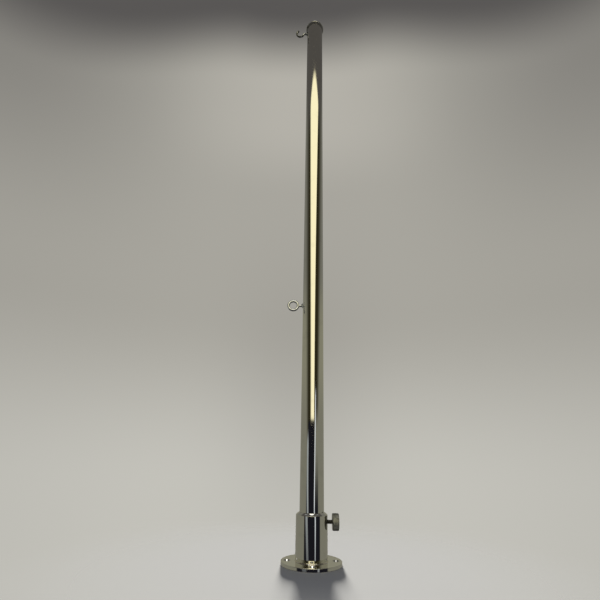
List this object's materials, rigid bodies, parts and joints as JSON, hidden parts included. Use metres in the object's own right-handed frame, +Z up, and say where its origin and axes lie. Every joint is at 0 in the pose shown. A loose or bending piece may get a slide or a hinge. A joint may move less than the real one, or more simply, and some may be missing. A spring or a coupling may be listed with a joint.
{
  "type": "flagstaff with deck socket",
  "caption": "Polished round flagstaff with a thin top cap, a closed eye and an open hook, standing in a flanged deck socket where a knurled thumb screw clamps it.",
  "frame": {"origin": "centre of the flange's underside, where it lies on the deck", "axes": "+Z up along the pole, +X towards the thumb screw, -X towards the eye and the hook"},
  "size_m": [0.0617, 0.06, 0.7757],
  "materials": {
    "polished_steel": "mirror polish",
    "weld_steel": "polished weld",
    "wire_steel": "bright drawn wire",
    "screw_steel": "plain turned and threaded",
    "knob_steel": "knurled, satin"
  },
  "bodies": {
    "socket": {"base_flange": "polished_steel", "socket_tube": "polished_steel", "weld_bead": "weld_steel"},
    "pole": {"pole_tube": "polished_steel", "top_cap": "polished_steel", "lower_eye": "wire_steel", "top_hook": "wire_steel"},
    "stud": {"screw_stud": "screw_steel"},
    "knob": {"screw_knob": "knob_steel"}
  },
  "joints": [
    {"name": "pole_lift", "type": "slide", "parent": "socket", "child": "pole", "axis": [0, 0, 1], "range_m": [0, 0.05]},
    {"name": "screw_travel", "type": "slide", "parent": "socket", "child": "stud", "axis": [1, 0, 0], "range_m": [0, 0.0022]},
    {"name": "screw_turn", "type": "hinge", "parent": "stud", "child": "knob", "pos_m": [0.0208, 0, 0.0365], "axis": [1, 0, 0], "range_deg": [0, 1080]}
  ],
  "couplings": [
    {"joint": "screw_travel", "follows": "screw_turn", "m_per_rad": 0.00011141}
  ]
}
